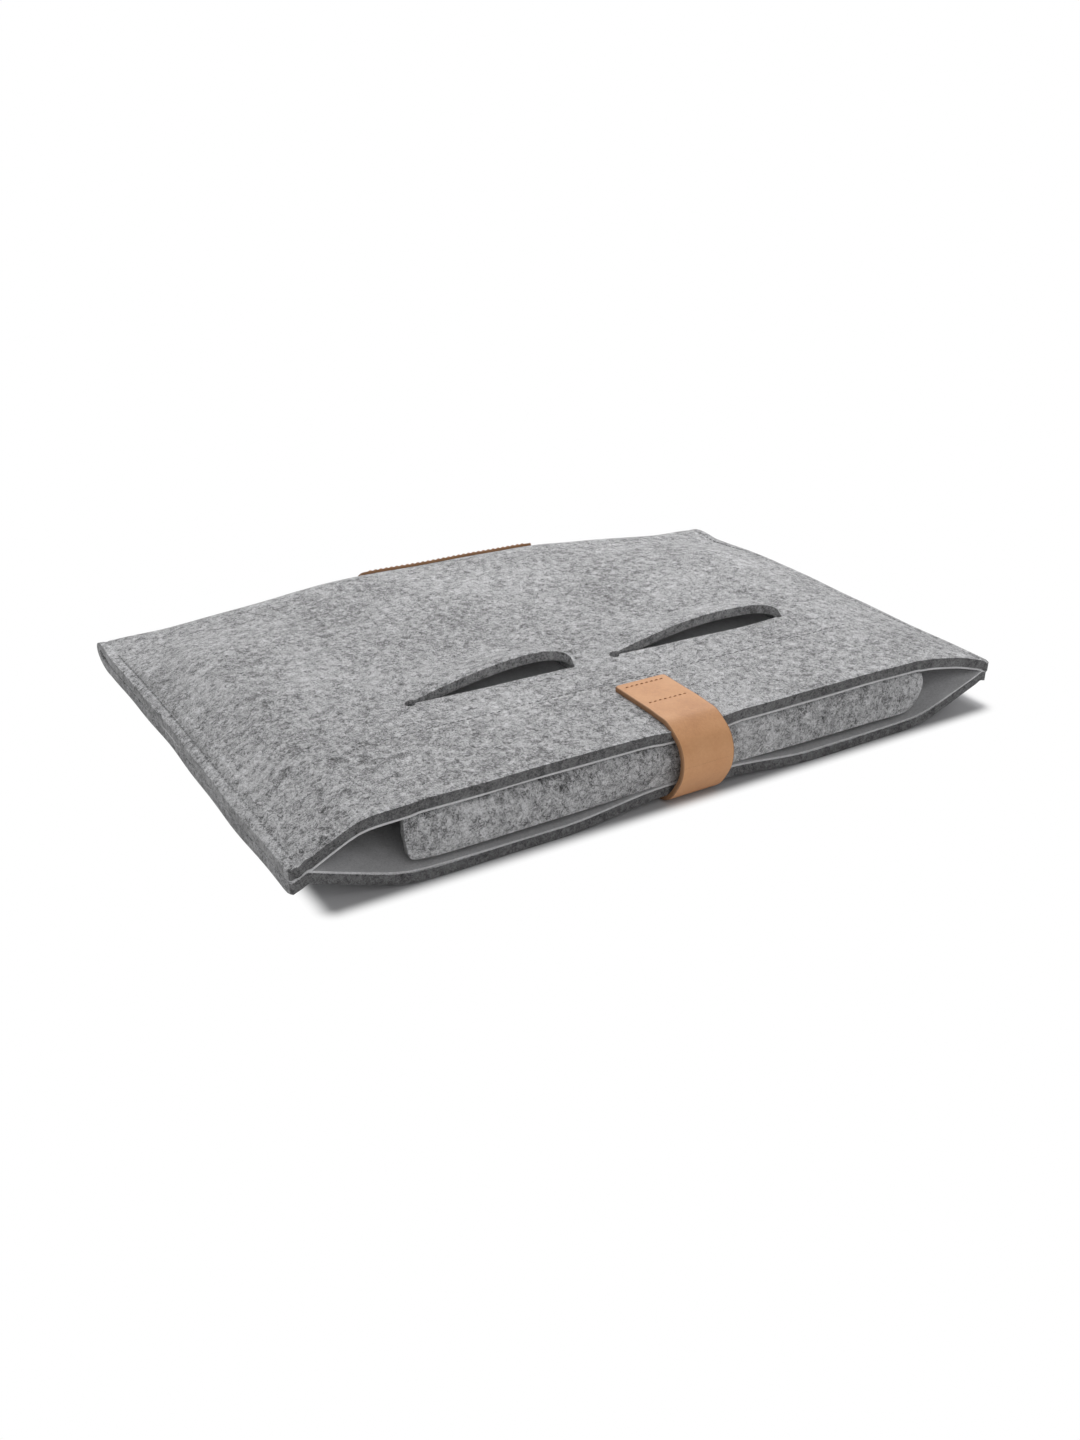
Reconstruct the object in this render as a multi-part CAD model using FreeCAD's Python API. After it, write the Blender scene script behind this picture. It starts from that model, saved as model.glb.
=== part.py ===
import FreeCAD, Part
import math
import os
import Mesh
from FreeCAD import Vector

# Felt laptop sleeve lying flat. Millimetres, +X to the right, +Z up, the mouth faces -Y.
# The origin is on the table, under the middle of the sleeve.

# Overall
sleeve_width = 350.0
sleeve_depth = 238.0
sleeve_height = 34.5
seam_height = 15.0            # height of the plane in which the two felt layers meet

# Felt body
felt_thickness = 4.5
lining_thickness = 0.8
lining_inset = 6.5            # from the sewn rim to the lining's edge
seam_width = 8.0              # flat rim in which the two layers are sewn together
knee_inset = 25.0             # from the side edge to the bend in the top layer's side slope
knee_share = 0.8              # height of that bend, as a share of the rise above the rim
top_slope_width = 41.0        # from the side edge to the flat top
bottom_slope_width = 49.0     # from the side edge to the flat bottom
fold_depth = 25.0             # length of the rounded folded edge

# Dent under the strap: the top layer is pressed, the bottom layer is lifted
press_depth = 2.0
press_length = 15.0
dent_edge = 1.0               # dent beyond the strap on each side
press_fade = 8.0
lift_fade = 46.0
lift_runout = 22.0

# Slits in the top layer
slit_setback = 74.0           # from the mouth to the slits
left_slit_side_margin = 81.0  # from the side edge to a slit's outer end
left_slit_inner_end = 12.0    # from the sleeve's middle to a slit's inner end
right_slit_side_margin = 69.0
right_slit_inner_end = 7.0
front_lip_bow = 2.5
back_lip_bow = 5.0
back_lip_rise = 7.5
lip_fade = 35.0
lip_stations = (-1.0, -0.6, 0.0, 0.6, 1.0)    # places along half a slit where its lips bend

# Pocket bags under the slits
pocket_gap = 5.2              # from the felt's underside to the bag's floor
bag_thickness = 0.8
bag_side_margin = 8.0         # from a slit's end to the bag's edge
bag_front_margin = 11.0       # from the slits to the bags' front edge
bag_back_margin = 34.0        # from the bags' back edge to the folded edge's start
bag_rim = 5.0
bag_wall = 6.0
lining_clearance = 2.0        # from a bag's edge to the lining's wall

# Tuck flap
flap_side_margin = 45.0       # from the side edge to the flap's edge
flap_thickness = 3.0
flap_clearance = 3.5          # from the flap's sewn edge to the lining's dip
flap_ground_gap = 0.9         # from the lip's lower edge to the lifted bottom lining
flap_corner = 9.0
flap_setback = 0.5            # from the mouth to the lip's face
flap_drop = 0.3               # from the lining to the lip
flap_row_inset = 2.5          # from the sewn edge to its row of thread

# Leather strap
strap_width = 26.0
strap_thickness = 2.2
strap_top_length = 41.0       # from the mouth to the sewn end
strap_hinge_setback = 1.6
strap_bulge = 8.2             # how far the strap's centre line stands out from the mouth
tail_length = 53.0            # under the sleeve, from the mouth
tail_corner = 6.0
table_gap = 0.3
brow_reach = 3.0              # centre line, from the mouth to the bend over its edge
shoulder_setback = 1.8        # centre line, behind the furthest stretch
shoulder_drop = 4.6           # below the top felt
face_drop = 10.0              # furthest stretch: its upper end below the top felt
face_rise = 3.0               # its lower end above the seam plane
chin_setback = 2.0
chin_drop = 2.0
tail_hinge_reach = 2.9
tail_hinge_height = 8.5
heel_reach = 2.3
heel_height = 3.6
toe_setback = 1.8

# Closure patches
patch_thickness = 0.9
hook_side_inset = 3.0         # from the strap's edge
hook_length = 36.0
loop_side_inset = 1.0
loop_length = 44.0
patch_setback = 11.0          # from the mouth to the hook patch

# Leather strip on the folded edge
trim_length = 100.0
trim_offset = 7.0             # from the sleeve's middle to the strip's, towards the right side
trim_margin = 3.0             # level stretch of the folded edge beyond the strip
trim_thickness = 1.5

# Threads
thread_width = 0.8
thread_height = 0.5
side_stitch_inset = 4.0
side_stitch_end = 4.5         # from the mouth and the folded edge to the side rows' ends
strap_row_inset = 3.5
strap_row_spacing = 17.0

# Clearances
moving_gap = 0.3

# Tolerances
same_point = 1e-6
mesh_tolerance = 0.001

half_width = sleeve_width / 2
mouth_y = -sleeve_depth / 2
fold_y = sleeve_depth / 2
fold_start_y = fold_y - fold_depth
rim_x = half_width - seam_width
knee_x = half_width - knee_inset
felt_underside = sleeve_height - felt_thickness
lining_underside = felt_underside - lining_thickness
bottom_lift = table_gap + strap_thickness + 2 * patch_thickness
slit_y = mouth_y + slit_setback
press_y = mouth_y + press_length
bag_front_y = slit_y - bag_front_margin
bag_back_y = fold_start_y - bag_back_margin
dip_front = bag_front_y - lining_clearance
dip_back = bag_back_y + lining_clearance
flap_half = half_width - flap_side_margin
flap_back_y = dip_front - bag_wall - flap_clearance
flap_bottom = bottom_lift + felt_thickness + lining_thickness + flap_ground_gap
bag_floor_drop = pocket_gap + bag_thickness
tail_end_y = mouth_y + tail_length
hook_width = strap_width - 2 * hook_side_inset
loop_width = strap_width - 2 * loop_side_inset
lift_end_y = tail_end_y + dent_edge
slope_start_y = bag_back_y + lining_clearance + bag_wall
lining_edge = half_width - seam_width - lining_inset
crown_x = half_width - top_slope_width
back_crown_x = abs(trim_offset) + trim_length / 2 + trim_margin
fold_angles = [math.radians(a) for a in (30, 60, 90)]


def span(low, high):
    """A slit's centre and half its length."""
    return (low + high) / 2, (high - low) / 2


slits = {"left": span(left_slit_side_margin - half_width, -left_slit_inner_end),
         "right": span(right_slit_inner_end, half_width - right_slit_side_margin)}


# ---- Shape functions ---------------------------------------------------------------------------

def blend(value, points):
    """Straight-line interpolation through (place, height) points."""
    if value <= points[0][0]:
        return points[0][1]
    for (a, fa), (b, fb) in zip(points, points[1:]):
        if value <= b:
            return fa + (fb - fa) * (value - a) / (b - a)
    return points[-1][1]


def top_share(x, y):
    """Rise of the top layer above its rim, from 0 at the rim to 1 on the flat."""
    filled = blend(abs(x), [(crown_x, 1.0), (knee_x, knee_share), (rim_x, 0.0)])
    folded = blend(abs(x), [(back_crown_x, 1.0), (rim_x, 0.0)])
    return filled + (folded - filled) * blend(y, [(slope_start_y, 0.0), (fold_start_y, 1.0)])


def press(x, y):
    """How far the strap presses the mouth edge of the top layer down."""
    inner = strap_width / 2 + dent_edge
    across = blend(abs(x), [(inner, 1.0), (inner + press_fade, 0.0)])
    return press_depth * across * blend(y, [(mouth_y, 1.0), (press_y, 0.0)])


def lift(x, y):
    """How far the strap's tail and the patches lift the bottom layer."""
    inner = strap_width / 2 + dent_edge
    across = blend(abs(x), [(inner, 1.0), (inner + lift_fade, 0.0)])
    return bottom_lift * across * blend(y, [(lift_end_y, 1.0), (lift_end_y + lift_runout, 0.0)])


def lens(x):
    """1 at the middle of a slit, 0 at its ends and outside it."""
    for centre, half in slits.values():
        if abs(x - centre) < half:
            return 1 - ((x - centre) / half) ** 2
    return 0.0


def top_base(x, y):
    """Height of the top layer's outer face, before the dent and the slits' lips."""
    rim = seam_height + felt_thickness
    return rim + (sleeve_height - rim) * top_share(x, y)


def bottom_base(x, y):
    """Height of the bottom layer's outer face."""
    flat = half_width - bottom_slope_width
    rise = blend(abs(x), [(flat, 0.0), (rim_x, 1.0)])
    return (seam_height - felt_thickness) * rise + lift(x, y)


# ---- Solids from grids of points -----------------------------------------------------------------

def sandwich(upper, lower):
    """Closed solid between two grids of points with the same rows and columns."""
    rows = len(upper)
    columns = len(upper[0])
    facets = []

    def quad(a, b, c, d):
        for triangle in ((a, b, c), (a, c, d)):
            if all((triangle[i] - triangle[i - 1]).Length > same_point for i in range(3)):
                facets.append(triangle)

    for i in range(rows - 1):
        for j in range(columns - 1):
            quad(upper[i][j], upper[i][j + 1], upper[i + 1][j + 1], upper[i + 1][j])
            quad(lower[i][j], lower[i + 1][j], lower[i + 1][j + 1], lower[i][j + 1])
    for j in range(columns - 1):
        quad(lower[0][j], lower[0][j + 1], upper[0][j + 1], upper[0][j])
        quad(upper[-1][j], upper[-1][j + 1], lower[-1][j + 1], lower[-1][j])
    for i in range(rows - 1):
        quad(upper[i][0], upper[i + 1][0], lower[i + 1][0], lower[i][0])
        quad(lower[i][-1], lower[i + 1][-1], upper[i + 1][-1], upper[i][-1])
    shape = Part.Shape()
    shape.makeShapeFromMesh(Mesh.Mesh([list(t) for t in facets]).Topology, mesh_tolerance)
    solid = Part.makeSolid(shape).removeSplitter()
    if solid.Volume < 0:
        solid.reverse()
    return solid


def lowered(rows, amount):
    return [[Vector(p.x, p.y, p.z - amount) for p in row] for row in rows]


def fold_rows(xs, face_height, inset):
    """Rows round the folded edge: a quarter ellipse from the face height to the seam plane."""
    rows = []
    for angle in fold_angles:
        y = fold_start_y + (fold_depth - inset) * math.sin(angle)
        row = []
        for x in xs:
            rise = face_height(x, fold_start_y) - seam_height
            row.append(Vector(x, y, seam_height + rise * math.cos(angle)))
        rows.append(row)
    return rows


def box(x0, x1, y0, y1, z0, z1):
    return Part.makeBox(x1 - x0, y1 - y0, z1 - z0, Vector(x0, y0, z0))


def mirrored_stations(values):
    return sorted(set([-v for v in values] + list(values)))


# ---- Felt body and lining ------------------------------------------------------------------------

def bag_span(side):
    centre, half = slits[side]
    return centre - half - bag_side_margin, centre + half + bag_side_margin


dip_left = bag_span("left")[0] - lining_clearance
dip_right = bag_span("right")[1] + lining_clearance


def top_stations():
    """Stations across the top layer and its lining: bends, slits and the walls of the lining's dip."""
    dent = strap_width / 2 + dent_edge
    stations = mirrored_stations([dent, dent + press_fade, back_crown_x, crown_x, knee_x,
                                  lining_edge, rim_x, half_width])
    stations += [dip_left - bag_wall, dip_left, dip_right, dip_right + bag_wall]
    for centre, half in slits.values():
        stations += [centre + half * share for share in lip_stations]
    return sorted(stations)


def bottom_stations():
    dent = strap_width / 2 + dent_edge
    flat = half_width - bottom_slope_width
    return mirrored_stations([dent, dent + lift_fade, flat, lining_edge, rim_x, half_width])


def inside_lining(stations):
    return [s for s in stations if abs(s) <= lining_edge]


def station_row(stations, y_of_x, height):
    return [Vector(x, y_of_x(x), height(x, y_of_x(x))) for x in stations]


def level(y):
    """A row that stays at one depth."""
    return lambda x: y


def front_lip(x):
    return slit_y - front_lip_bow * lens(x)


def back_lip(x):
    return slit_y + back_lip_bow * lens(x)


def pressed_top(x, y):
    return top_base(x, y) - press(x, y)


def raised_top(x, y):
    """Top layer behind the slits, whose lips stand up and fade into the flat."""
    fade = blend(y - back_lip(x), [(0.0, 1.0), (lip_fade, 0.0)])
    return top_base(x, y) + back_lip_rise * lens(x) * fade


def under_top(x, y):
    return top_base(x, y) - felt_thickness


def make_front_felt_panel():
    """Top layer: a part before the slits and a part behind them, joined between the slits."""
    stations = top_stations()
    lines = [level(mouth_y), level(press_y), front_lip]
    front = sandwich([station_row(stations, line, pressed_top) for line in lines],
                     [station_row(stations, line, under_top) for line in lines])
    fade_y = slit_y + back_lip_bow + lip_fade
    lines = [back_lip] + [level(y) for y in (fade_y, slope_start_y, fold_start_y)]
    upper = [station_row(stations, line, raised_top) for line in lines]
    lower = lowered(upper, felt_thickness)
    upper += fold_rows(stations, top_base, 0.0)
    lower += fold_rows(stations, under_top, felt_thickness)
    return front.fuse(sandwich(upper, lower)).removeSplitter()


def over_bottom(x, y):
    return bottom_base(x, y) + felt_thickness


def make_back_felt_panel():
    """Bottom layer, with the lower half of the folded edge."""
    stations = bottom_stations()
    lines = [level(y) for y in (mouth_y, lift_end_y, lift_end_y + lift_runout, fold_start_y)]
    upper = [station_row(stations, line, over_bottom) for line in lines]
    lower = [station_row(stations, line, bottom_base) for line in lines]
    upper += fold_rows(stations, over_bottom, felt_thickness)
    lower += fold_rows(stations, bottom_base, 0.0)
    return sandwich(upper, lower)


def dip(x, y):
    """How far the top lining hangs down under the pocket bags."""
    across = blend(x, [(dip_left - bag_wall, 0.0), (dip_left, 1.0),
                       (dip_right, 1.0), (dip_right + bag_wall, 0.0)])
    along = blend(y, [(dip_front - bag_wall, 0.0), (dip_front, 1.0),
                      (dip_back, 1.0), (dip_back + bag_wall, 0.0)])
    return bag_floor_drop * min(across, along)


def make_front_lining():
    """Lining under the top layer, hanging down under the pocket bags."""
    stations = inside_lining(top_stations())
    depths = [mouth_y, dip_front - bag_wall, dip_front, dip_back, slope_start_y, fold_start_y]

    def face(x, y):
        return under_top(x, y) - dip(x, y)

    upper = [station_row(stations, level(y), face) for y in depths]
    lower = lowered(upper, lining_thickness)
    upper += fold_rows(stations, under_top, felt_thickness)
    lower += fold_rows(stations, lambda x, y: under_top(x, y) - lining_thickness,
                       felt_thickness + lining_thickness)
    return sandwich(upper, lower)


def make_back_lining():
    """Lining over the bottom layer."""
    stations = inside_lining(bottom_stations())
    lines = [level(y) for y in (mouth_y, lift_end_y, lift_end_y + lift_runout, fold_start_y)]

    def face(x, y):
        return over_bottom(x, y) + lining_thickness

    lower = [station_row(stations, line, over_bottom) for line in lines]
    upper = [station_row(stations, line, face) for line in lines]
    upper += fold_rows(stations, face, felt_thickness + lining_thickness)
    lower += fold_rows(stations, over_bottom, felt_thickness)
    return sandwich(upper, lower)


# ---- Pocket bags ---------------------------------------------------------------------------------

def make_pocket_bag(side):
    """Shallow tray sewn by its rim under the top layer; the slit opens into it."""
    low, high = bag_span(side)
    xs = [low, low + bag_rim, low + bag_rim + bag_wall, high - bag_rim - bag_wall, high - bag_rim, high]
    ys = [bag_front_y, bag_front_y + bag_rim, bag_front_y + bag_rim + bag_wall]
    ys += [bag_back_y - bag_rim - bag_wall, bag_back_y - bag_rim, bag_back_y]

    def face(x, y):
        across = blend(x, [(xs[1], 0.0), (xs[2], 1.0), (xs[3], 1.0), (xs[4], 0.0)])
        along = blend(y, [(ys[1], 0.0), (ys[2], 1.0), (ys[3], 1.0), (ys[4], 0.0)])
        return felt_underside - pocket_gap * min(across, along)

    upper = [station_row(xs, level(y), face) for y in ys]
    return sandwich(upper, lowered(upper, bag_thickness))


def make_pocket_stitching(side):
    """Rows of thread under the bag's rim, on its two sides and its back edge."""
    low, high = bag_span(side)
    top = felt_underside - bag_thickness
    base = top - thread_height
    middle = bag_rim / 2
    half = thread_width / 2
    front = bag_front_y + middle
    back = bag_back_y - middle
    side_rows = [box(x - half, x + half, front, back - thread_width, base, top)
                 for x in (low + middle, high - middle)]
    back_row = box(low + middle, high - middle, back - half, back + half, base, top)
    return Part.makeCompound(side_rows + [back_row])


# ---- Tuck flap -----------------------------------------------------------------------------------

flap_face_y = mouth_y + flap_setback
flap_inner_y = flap_face_y + flap_thickness
lip_top = lining_underside - flap_drop


def make_tuck_flap_anchor():
    """The part of the flap that is sewn under the top lining."""
    return box(-flap_half, flap_half, flap_inner_y + moving_gap, flap_back_y,
               lining_underside - flap_thickness, lining_underside)


def make_tuck_flap_lip():
    """The hanging part of the flap, with rounded lower corners. It turns about its top front edge."""
    lip = box(-flap_half, flap_half, flap_face_y, flap_inner_y, flap_bottom, lip_top)
    corners = [edge for edge in lip.Edges
               if abs(edge.BoundBox.YLength - edge.Length) < same_point
               and edge.CenterOfMass.z < flap_bottom + same_point]
    return lip.makeFillet(flap_corner, corners)


def make_tuck_flap_stitching():
    """One row of thread under the anchor, along its sewn edge."""
    row_y = flap_back_y - flap_row_inset
    end = flap_half - flap_corner
    top = lining_underside - flap_thickness
    return box(-end, end, row_y - thread_width / 2, row_y + thread_width / 2, top - thread_height, top)


# ---- Leather strap -------------------------------------------------------------------------------

def ribbon_sides(points, thickness):
    """The two sides of a band of constant thickness along a bent line, with mitred bends."""
    def normal(a, b):
        length = math.hypot(b[0] - a[0], b[1] - a[1])
        return -(b[1] - a[1]) / length, (b[0] - a[0]) / length

    inner = []
    outer = []
    last = len(points) - 1
    for i, point in enumerate(points):
        before = normal(points[max(i - 1, 0)], points[max(i, 1)])
        after = normal(points[min(i, last - 1)], points[min(i + 1, last)])
        scale = thickness / 2 / (1 + before[0] * after[0] + before[1] * after[1])
        shift = ((before[0] + after[0]) * scale, (before[1] + after[1]) * scale)
        inner.append((point[0] + shift[0], point[1] + shift[1]))
        outer.append((point[0] - shift[0], point[1] - shift[1]))
    return inner, outer


def band(inner, outer, width):
    outline = [Vector(-width / 2, y, z) for y, z in inner + outer[::-1]]
    face = Part.Face(Part.makePolygon(outline + outline[:1]))
    return face.extrude(Vector(width, 0, 0))


half_strap = strap_thickness / 2
strap_hinge_y = mouth_y + strap_hinge_setback
strap_end_y = mouth_y + strap_top_length
strap_bend_z = sleeve_height + half_strap - press_depth * (1 - strap_hinge_setback / press_length)
tail_z = table_gap + half_strap
bulge_y = mouth_y - strap_bulge
wrap_points = [(strap_hinge_y - moving_gap / 2, strap_bend_z + moving_gap),
               (mouth_y - brow_reach, strap_bend_z - moving_gap),
               (bulge_y + shoulder_setback, sleeve_height - shoulder_drop),
               (bulge_y, sleeve_height - face_drop),
               (bulge_y, seam_height + face_rise),
               (bulge_y + chin_setback, seam_height - chin_drop)]
tail_points = [(mouth_y - tail_hinge_reach, tail_hinge_height),
               (mouth_y - heel_reach, heel_height),
               (mouth_y + toe_setback, tail_z),
               (tail_end_y, tail_z)]
strap_inner, strap_outer = ribbon_sides(wrap_points + tail_points, strap_thickness)
tail_index = len(wrap_points)
strap_hinge = strap_outer[0]
tail_hinge = strap_outer[tail_index]


def make_strap_sewn_end():
    """The strap's end on the top layer, lying in the dent that it presses."""
    stations = [-strap_width / 2, strap_width / 2]
    lines = [level(y) for y in (strap_hinge_y + moving_gap / 2, press_y, strap_end_y)]
    lower = [station_row(stations, line, pressed_top) for line in lines]
    return sandwich(lowered(lower, -strap_thickness), lower)


def make_strap_wrap():
    """The free part in front of the mouth, which ends at the tail's hinge."""
    return band(strap_inner[:tail_index + 1], strap_outer[:tail_index + 1], strap_width)


def make_strap_tail():
    """The part that turns under the sleeve, with rounded end corners."""
    first, second = tail_points[:2]
    share = moving_gap / math.hypot(second[0] - first[0], second[1] - first[1])
    step = ((second[0] - first[0]) * share, (second[1] - first[1]) * share)
    inner = strap_inner[tail_index:]
    outer = strap_outer[tail_index:]
    inner[0] = (inner[0][0] + step[0], inner[0][1] + step[1])
    outer[0] = (outer[0][0] + step[0], outer[0][1] + step[1])
    tail = band(inner, outer, strap_width)
    corners = [edge for edge in tail.Edges
               if abs(edge.CenterOfMass.y - tail_end_y) < same_point
               and abs(edge.BoundBox.ZLength - strap_thickness) < same_point]
    return tail.makeFillet(tail_corner, corners)


def make_strap_stitching():
    """Two rows of thread across the sewn end."""
    top = sleeve_height + strap_thickness
    half = strap_width / 2 - strap_row_inset
    rows = []
    for y in (strap_end_y - strap_row_inset, strap_end_y - strap_row_inset - strap_row_spacing):
        rows.append(box(-half, half, y - thread_width / 2, y + thread_width / 2, top, top + thread_height))
    return Part.makeCompound(rows)


def make_hook_patch():
    start = mouth_y + patch_setback
    low = table_gap + strap_thickness
    return box(-hook_width / 2, hook_width / 2, start, start + hook_length, low, low + patch_thickness)


def make_loop_patch():
    start = mouth_y + patch_setback - (loop_length - hook_length) / 2
    low = table_gap + strap_thickness + patch_thickness
    return box(-loop_width / 2, loop_width / 2, start, start + loop_length, low, low + patch_thickness)


# ---- Leather strip on the folded edge -------------------------------------------------------------

def fold_profile(offset):
    """Points round the folded edge in the YZ plane at the sleeve's middle, outside the felt."""
    points = []
    for angle in fold_angles:
        y = fold_start_y + (fold_depth + offset) * math.sin(angle)
        points.append((y, seam_height + (sleeve_height + offset - seam_height) * math.cos(angle)))
    for angle in fold_angles[-2::-1]:
        y = fold_start_y + (fold_depth + offset) * math.sin(angle)
        points.append((y, seam_height - (seam_height + offset) * math.cos(angle)))
    return points


def make_back_edge_trim():
    ends = (trim_offset - trim_length / 2, trim_offset + trim_length / 2)
    outer = [[Vector(x, y, z) for x in ends] for y, z in fold_profile(trim_thickness)]
    inner = [[Vector(x, y, z) for x in ends] for y, z in fold_profile(0.0)]
    return sandwich(outer, inner)


def make_trim_stitching():
    """Two rows of thread along the strip, one near each long edge."""
    half = trim_length / 2 - strap_row_inset
    ends = (trim_offset - half, trim_offset + half)
    profile = [Vector(0, y, z) for y, z in fold_profile(trim_thickness)]
    rows = []
    for edge, beyond, turn in ((profile[0], profile[1], 1), (profile[-1], profile[-2], -1)):
        along = (beyond - edge).normalize()
        out = Vector(0, -along.z, along.y) * turn
        low = edge + along * strap_row_inset
        section = (low, low + along * thread_width)
        inner = [[Vector(x, p.y, p.z) for x in ends] for p in section]
        outer = [[p + out * thread_height for p in row] for row in inner]
        rows.append(sandwich(outer, inner))
    return Part.makeCompound(rows)


def make_side_stitching(sign):
    """Rows of thread over and under the sewn rim of one side."""
    x = sign * (half_width - side_stitch_inset)
    runs = []
    for low in (seam_height + felt_thickness, seam_height - felt_thickness - thread_height):
        runs.append(box(x - thread_width / 2, x + thread_width / 2, mouth_y + side_stitch_end,
                        fold_start_y - side_stitch_end, low, low + thread_height))
    return Part.makeCompound(runs)


parts = {
    "front_felt_panel": make_front_felt_panel(),
    "back_felt_panel": make_back_felt_panel(),
    "front_lining": make_front_lining(),
    "back_lining": make_back_lining(),
    "left_pocket_bag": make_pocket_bag("left"),
    "right_pocket_bag": make_pocket_bag("right"),
    "left_pocket_stitching": make_pocket_stitching("left"),
    "right_pocket_stitching": make_pocket_stitching("right"),
    "tuck_flap_anchor": make_tuck_flap_anchor(),
    "tuck_flap_lip": make_tuck_flap_lip(),
    "tuck_flap_stitching": make_tuck_flap_stitching(),
    "strap_sewn_end": make_strap_sewn_end(),
    "strap_wrap": make_strap_wrap(),
    "strap_tail": make_strap_tail(),
    "strap_stitching": make_strap_stitching(),
    "hook_patch": make_hook_patch(),
    "loop_patch": make_loop_patch(),
    "back_edge_trim": make_back_edge_trim(),
    "trim_stitching": make_trim_stitching(),
    "left_side_stitching": make_side_stitching(-1),
    "right_side_stitching": make_side_stitching(1),
}

os.makedirs("parts", exist_ok=True)
for name, shape in parts.items():
    shape.exportStep("parts/" + name + ".step")
    print(name, len(shape.Solids), shape.isValid(), round(shape.Volume, 1), shape.BoundBox)
print("strap hinge", strap_hinge, "tail hinge", tail_hinge, "flap hinge", (flap_face_y, lip_top))
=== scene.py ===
import bpy
import math
import numpy as np
from mathutils import Matrix, Vector


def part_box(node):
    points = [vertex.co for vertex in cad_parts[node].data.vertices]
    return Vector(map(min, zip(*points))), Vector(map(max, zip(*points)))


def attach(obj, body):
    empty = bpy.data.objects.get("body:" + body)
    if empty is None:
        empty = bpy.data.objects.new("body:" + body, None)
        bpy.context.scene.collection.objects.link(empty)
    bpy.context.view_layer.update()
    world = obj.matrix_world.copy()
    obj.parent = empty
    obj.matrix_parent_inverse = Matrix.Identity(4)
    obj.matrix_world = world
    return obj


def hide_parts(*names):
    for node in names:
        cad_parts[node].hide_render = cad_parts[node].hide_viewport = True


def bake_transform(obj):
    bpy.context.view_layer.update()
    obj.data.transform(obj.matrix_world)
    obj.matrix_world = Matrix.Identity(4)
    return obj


# Felt laptop sleeve, lying with its mouth towards -Y. Shapes are worked out in millimetres, in the
# frame's own axes, and become metres when a mesh is made.

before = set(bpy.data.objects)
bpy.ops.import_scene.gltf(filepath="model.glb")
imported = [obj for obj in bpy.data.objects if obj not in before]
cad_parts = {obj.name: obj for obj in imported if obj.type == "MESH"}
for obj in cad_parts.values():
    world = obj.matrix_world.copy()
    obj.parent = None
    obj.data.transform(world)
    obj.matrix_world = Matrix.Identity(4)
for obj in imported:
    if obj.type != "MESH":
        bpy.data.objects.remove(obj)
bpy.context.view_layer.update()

MM = 0.001


def node_box(node):
    """Lowest and highest corner of a CAD node, in millimetres."""
    low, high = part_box(node)
    return np.array(low) / MM, np.array(high) / MM


# ---- Sizes, in millimetres: from the frame wherever one of its nodes gives them -----------------

felt = 4.5                    # thickness of the felt
lining = 0.9                  # thickness of the lining cloth
bag_cloth = 0.8               # thickness of a pocket bag's cloth
leather = 2.2                 # thickness of the strap
touch_gap = 0.05              # left between cloths that lie on each other
panel_low, panel_high = node_box("back_felt_panel")
half_width = panel_high[0]
mouth_y = panel_low[1]
fold_y = panel_high[1]
bag_boxes = {"left": node_box("left_pocket_bag"), "right": node_box("right_pocket_bag")}
top_z = bag_boxes["left"][1][2] + felt
bag_side_margin = 8.0
bag_front_margin = 11.0
slit_y = bag_boxes["left"][0][1] + bag_front_margin
slits = {side: (low[0] + bag_side_margin, high[0] - bag_side_margin)
         for side, (low, high) in bag_boxes.items()}
sewn_high = node_box("strap_sewn_end")[1]
strap_half = sewn_high[0]
strap_end_y = sewn_high[1]
tail_high = node_box("strap_tail")[1]
lip_low = node_box("tuck_flap_lip")[0]
anchor_high = node_box("tuck_flap_anchor")[1]
trim_low, trim_high = node_box("back_edge_trim")

fold_start_y = fold_y - 25.0  # where the rounded folded edge begins
seam_z = 15.0                 # height at which the two layers meet at the folded edge
rim_start = 166.0             # from here outwards the two layers are pressed together
rim_full = 171.0              # from here outwards they are pressed flat
rim_middle = 168.0
rim_gap = 0.42                # from the seam's middle to either felt, room for the linings
mouth_fade = 12.0             # how far in from the mouth its unevenness reaches
filled_end_y = 40.0           # behind this the sleeve starts to thin towards the fold


# ---- Shape functions, all on whole arrays -------------------------------------------------------

def smooth(value):
    """0 below 0, 1 above 1, and an even S between."""
    t = np.clip(value, 0.0, 1.0)
    return t * t * (3 - 2 * t)


def ramp(distance, softness):
    """0 well below the start, the distance itself well above it, rounded where it starts."""
    return (distance + np.sqrt(distance * distance + softness * softness)) / 2


def mix(a, b, share):
    """The value this share of the way from a to b."""
    return a + (b - a) * share


def back_share(y):
    """0 where the sleeve is filled, 1 at the folded edge."""
    return smooth((y - filled_end_y) / (fold_start_y + 6.0 - filled_end_y))


def waves(x, y, phase):
    """Slight unevenness of hand-cut felt: three crossed sine waves, under half a millimetre."""
    return (0.22 * np.sin(x / 31.0 + phase) * np.sin(y / 27.0 + 2 * phase)
            + 0.14 * np.sin(x / 13.0 + y / 19.0 + phase)
            + 0.08 * np.sin(x / 7.0 - y / 11.0 + 3 * phase))


def seam_surface(x, y):
    """Height at which the two layers touch in the sewn rim: a set height less a slope times the
    distance beyond the rim's middle, and level at the fold."""
    beyond = np.maximum(np.abs(x) - rim_middle, 0.0)
    filled = np.where(x < 0, 19.0 - 0.55 * beyond, 19.8 - 0.3 * beyond)
    return mix(filled, seam_z, back_share(y))


def rim_share(x):
    """0 in the open part of the sleeve and 1 in the sewn rim, an S between."""
    return smooth((np.abs(x) - rim_start) / (rim_full - rim_start))


def dimples(x, y):
    """Pits where the side seams end at the mouth: 2.2 mm times a bell curve in x and y."""
    reach = ((np.abs(x) - 168.5) / 1.5) ** 2 + ((y - mouth_y - 5.0) / 1.7) ** 2
    return 2.2 * np.exp(-reach)


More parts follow.
